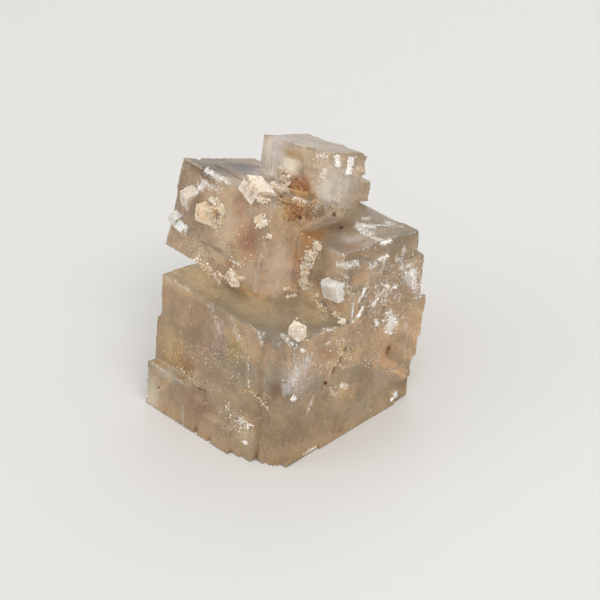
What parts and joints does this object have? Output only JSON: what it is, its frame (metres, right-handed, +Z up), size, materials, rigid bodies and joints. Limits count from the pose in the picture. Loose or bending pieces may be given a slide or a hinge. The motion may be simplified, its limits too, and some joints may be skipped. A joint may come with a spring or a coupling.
{
  "type": "halite cubic crystal",
  "caption": "Cloudy tan halite specimen: intergrown cubic crystals with stepped faces, standing on a flat base.",
  "frame": {"origin": "under the middle of the cluster, on the surface that its flat base rests on", "axes": "+Z up, +X along the front face of the main cube towards its front corner, +Y back along its right side"},
  "size_m": [0.0524, 0.0534, 0.0525],
  "materials": {
    "halite": "satin"
  },
  "bodies": {
    "root": {"halite_crystal": "halite"}
  },
  "joints": []
}
